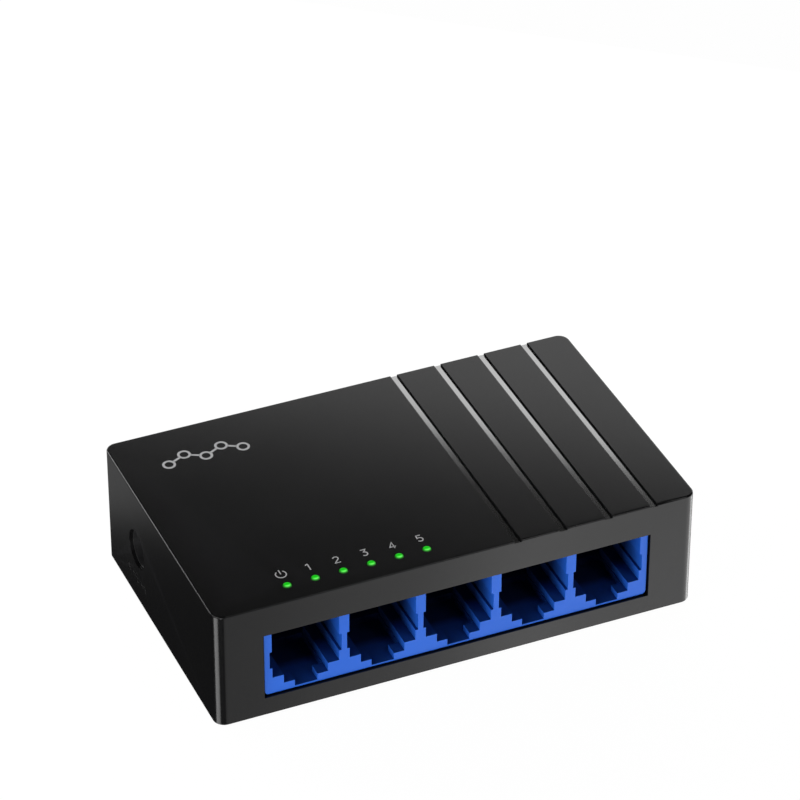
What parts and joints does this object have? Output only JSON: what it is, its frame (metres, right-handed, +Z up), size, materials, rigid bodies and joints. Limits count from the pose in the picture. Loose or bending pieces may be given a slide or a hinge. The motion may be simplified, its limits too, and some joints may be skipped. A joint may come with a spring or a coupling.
{
  "type": "desktop network switch",
  "caption": "Small unmanaged desktop network switch: black box case with a row of blue modular ports, green indicators on the roof and a barrel power inlet in the end wall.",
  "frame": {"origin": "on the surface the feet stand on, under the middle of the case", "axes": "+X along the long side, to the right when facing the ports; the ports face -Y; +Z up"},
  "size_m": [0.0852, 0.0514, 0.0227],
  "materials": {
    "black_plastic": "satin black moulded plastic, fine spark texture",
    "blue_plastic": "semi-gloss blue moulded plastic",
    "foot_rubber": "matt black",
    "carrier_plastic": "dark moulded carrier",
    "contact_gold": "gold-plated spring wire",
    "clear_plastic": "clear light guide, lit green",
    "lamp_lens": "green lamp lens, lit",
    "laminate": "green solder mask on glass laminate",
    "chip_resin": "moulded resin with tinned legs",
    "jack_plastic": "black moulded plastic",
    "plated_metal": "bright plated metal",
    "ferrite": "sintered ferrite, matt",
    "ceramic_body": "fired ceramic with tinned ends"
  },
  "bodies": {
    "root": {"base_cover": "black_plastic", "crystal": "plated_metal", "decoupling_capacitor_1": "ceramic_body", "decoupling_capacitor_2": "ceramic_body", "decoupling_capacitor_3": "ceramic_body", "decoupling_capacitor_4": "ceramic_body", "foot_front_left": "foot_rubber", "foot_front_right": "foot_rubber", "foot_rear_left": "foot_rubber", "foot_rear_right": "foot_rubber", "input_capacitor": "plated_metal", "input_diode": "chip_resin", "lamp_port_1": "lamp_lens", "lamp_port_2": "lamp_lens", "lamp_port_3": "lamp_lens", "lamp_port_4": "lamp_lens", "lamp_port_5": "lamp_lens", "lamp_power": "lamp_lens", "light_guide": "clear_plastic", "main_board": "laminate", "output_capacitor": "plated_metal", "port_1_contact_carrier": "carrier_plastic", "port_1_contact_springs": "contact_gold", "port_1_magnetics": "chip_resin", "port_1_resistor_array": "ceramic_body", "port_2_contact_carrier": "carrier_plastic", "port_2_contact_springs": "contact_gold", "port_2_magnetics": "chip_resin", "port_2_resistor_array": "ceramic_body", "port_3_contact_carrier": "carrier_plastic", "port_3_contact_springs": "contact_gold", "port_3_magnetics": "chip_resin", "port_3_resistor_array": "ceramic_body", "port_4_contact_carrier": "carrier_plastic", "port_4_contact_springs": "contact_gold", "port_4_magnetics": "chip_resin", "port_4_resistor_array": "ceramic_body", "port_5_contact_carrier": "carrier_plastic", "port_5_contact_springs": "contact_gold", "port_5_magnetics": "chip_resin", "port_5_resistor_array": "ceramic_body", "port_block": "blue_plastic", "power_inductor": "ferrite", "power_jack_centre_pin": "plated_metal", "power_jack_housing": "jack_plastic", "power_jack_sleeve_spring": "plated_metal", "surge_capacitor": "ceramic_body", "switch_chip": "chip_resin", "top_cover": "black_plastic", "voltage_regulator": "chip_resin"}
  },
  "joints": []
}
